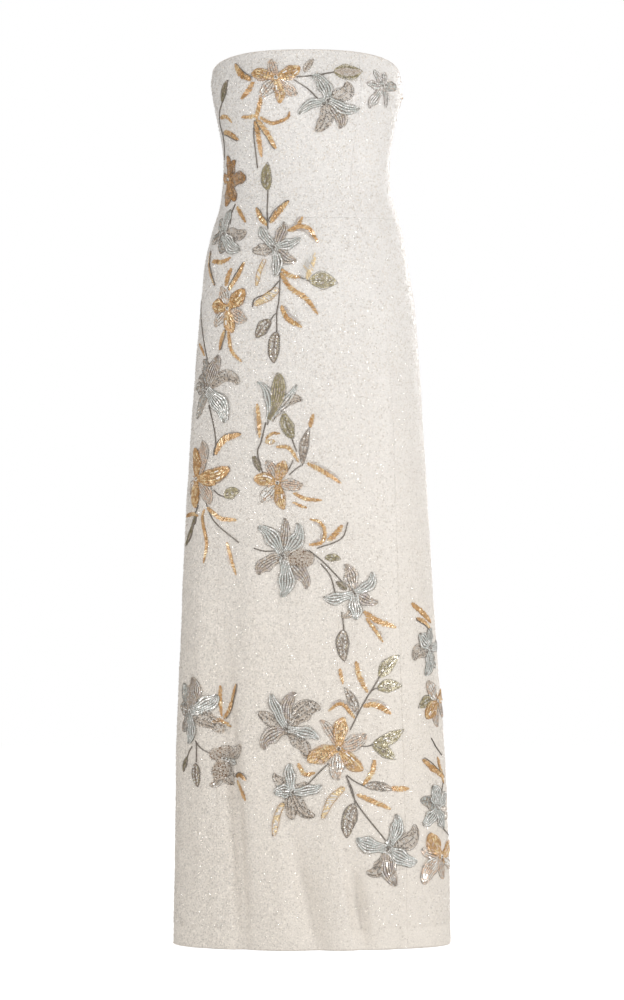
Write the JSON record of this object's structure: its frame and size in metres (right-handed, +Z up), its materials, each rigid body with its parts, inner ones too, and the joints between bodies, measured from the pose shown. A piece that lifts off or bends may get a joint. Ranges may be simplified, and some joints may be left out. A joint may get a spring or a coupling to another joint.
{
  "type": "strapless full-length beaded evening dress",
  "caption": "Close-fitting strapless full-length evening dress of ivory beaded cloth with beaded lily sprays, filled out as worn, with a centre back zip",
  "frame": {"origin": "on the dress's middle line at the height of the bust, where the wearer holds the strapless bodice up (mount bust_hold)", "axes": "+Z up towards the neckline, -Y the way the wearer faces, +X to the right of a person who looks at the front"},
  "size_m": [0.4046, 0.2413, 1.2948],
  "materials": {
    "beaded_cloth": "ivory cloth covered with tiny glass beads and sequins, softly sparkling",
    "zip_tape": "matt woven tape",
    "pale_metal": "smooth pale metal"
  },
  "bodies": {
    "dress": {"bodice_front_centre": "beaded_cloth", "bodice_front_side_left": "beaded_cloth", "bodice_front_side_right": "beaded_cloth", "bodice_back_left": "beaded_cloth", "bodice_back_right": "beaded_cloth", "skirt_front_centre": "beaded_cloth", "skirt_front_side_left": "beaded_cloth", "skirt_front_side_right": "beaded_cloth", "skirt_back_left": "beaded_cloth", "skirt_back_right": "beaded_cloth", "zip_tape": "zip_tape", "zip_slider": "pale_metal"},
    "zip_pull": {"zip_pull": "pale_metal"}
  },
  "joints": [
    {"name": "zip_pull_swing", "type": "hinge", "parent": "dress", "child": "zip_pull", "pos_m": [-0.00097, 0.1075, 0.0062], "axis": [1, 0, 0], "range_deg": [-3, 170]}
  ]
}
